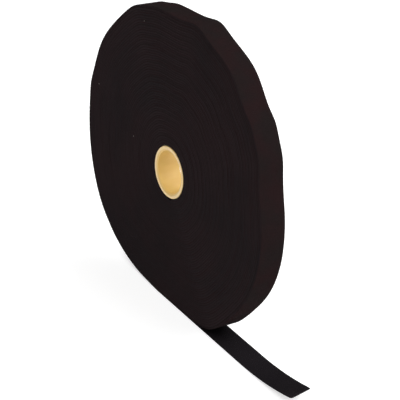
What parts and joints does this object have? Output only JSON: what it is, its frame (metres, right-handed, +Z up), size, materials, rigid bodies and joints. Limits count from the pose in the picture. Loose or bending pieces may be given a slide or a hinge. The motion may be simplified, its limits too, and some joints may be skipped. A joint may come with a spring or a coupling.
{
  "type": "hook and loop tape roll",
  "caption": "Soft roll of black back-to-back hook and loop tape on a cream plastic core, standing on its flattened foot with the free end laid out along the table.",
  "frame": {"origin": "on the table, straight below the middle of the roll's round, midway across the tape's width", "axes": "+Y along the roll's axis, +X towards the free end, +Z up"},
  "size_m": [0.292, 0.02, 0.2269],
  "materials": {
    "core_plastic": "satin moulded, cream",
    "tab_film": "double-sided adhesive film",
    "wound_tape": "woven nylon edges, matt",
    "loop_ribbon": "brushed nylon pile, matt",
    "hook_ribbon": "woven nylon with rows of hooks"
  },
  "bodies": {
    "roll": {"core_tube": "core_plastic", "starter_tab": "tab_film", "wound_tape": "wound_tape", "outer_turn_loop_ribbon": "loop_ribbon", "outer_turn_hook_ribbon": "hook_ribbon"},
    "tail_1": {"tail_1_loop_ribbon": "loop_ribbon", "tail_1_hook_ribbon": "hook_ribbon"},
    "tail_2": {"tail_2_loop_ribbon": "loop_ribbon", "tail_2_hook_ribbon": "hook_ribbon"},
    "tail_3": {"tail_3_loop_ribbon": "loop_ribbon", "tail_3_hook_ribbon": "hook_ribbon"},
    "tail_4": {"tail_4_loop_ribbon": "loop_ribbon", "tail_4_hook_ribbon": "hook_ribbon"}
  },
  "joints": [
    {"name": "tail_bend_1", "type": "hinge", "parent": "roll", "child": "tail_1", "pos_m": [0.06801, 0, 0.00065], "axis": [0, -1, 0], "range_deg": [0, 30], "stiffness_Nm_per_rad": 0.005},
    {"name": "tail_bend_2", "type": "hinge", "parent": "tail_1", "child": "tail_2", "pos_m": [0.09301, 0, 0.00065], "axis": [0, -1, 0], "range_deg": [0, 12], "stiffness_Nm_per_rad": 0.005},
    {"name": "tail_bend_3", "type": "hinge", "parent": "tail_2", "child": "tail_3", "pos_m": [0.11798, 0, 0.00085], "axis": [0, -1, 0], "range_deg": [-4, 12], "stiffness_Nm_per_rad": 0.005},
    {"name": "tail_bend_4", "type": "hinge", "parent": "tail_3", "child": "tail_4", "pos_m": [0.1428, 0, 0.00309], "axis": [0, -1, 0], "range_deg": [-8, 12], "stiffness_Nm_per_rad": 0.005}
  ]
}
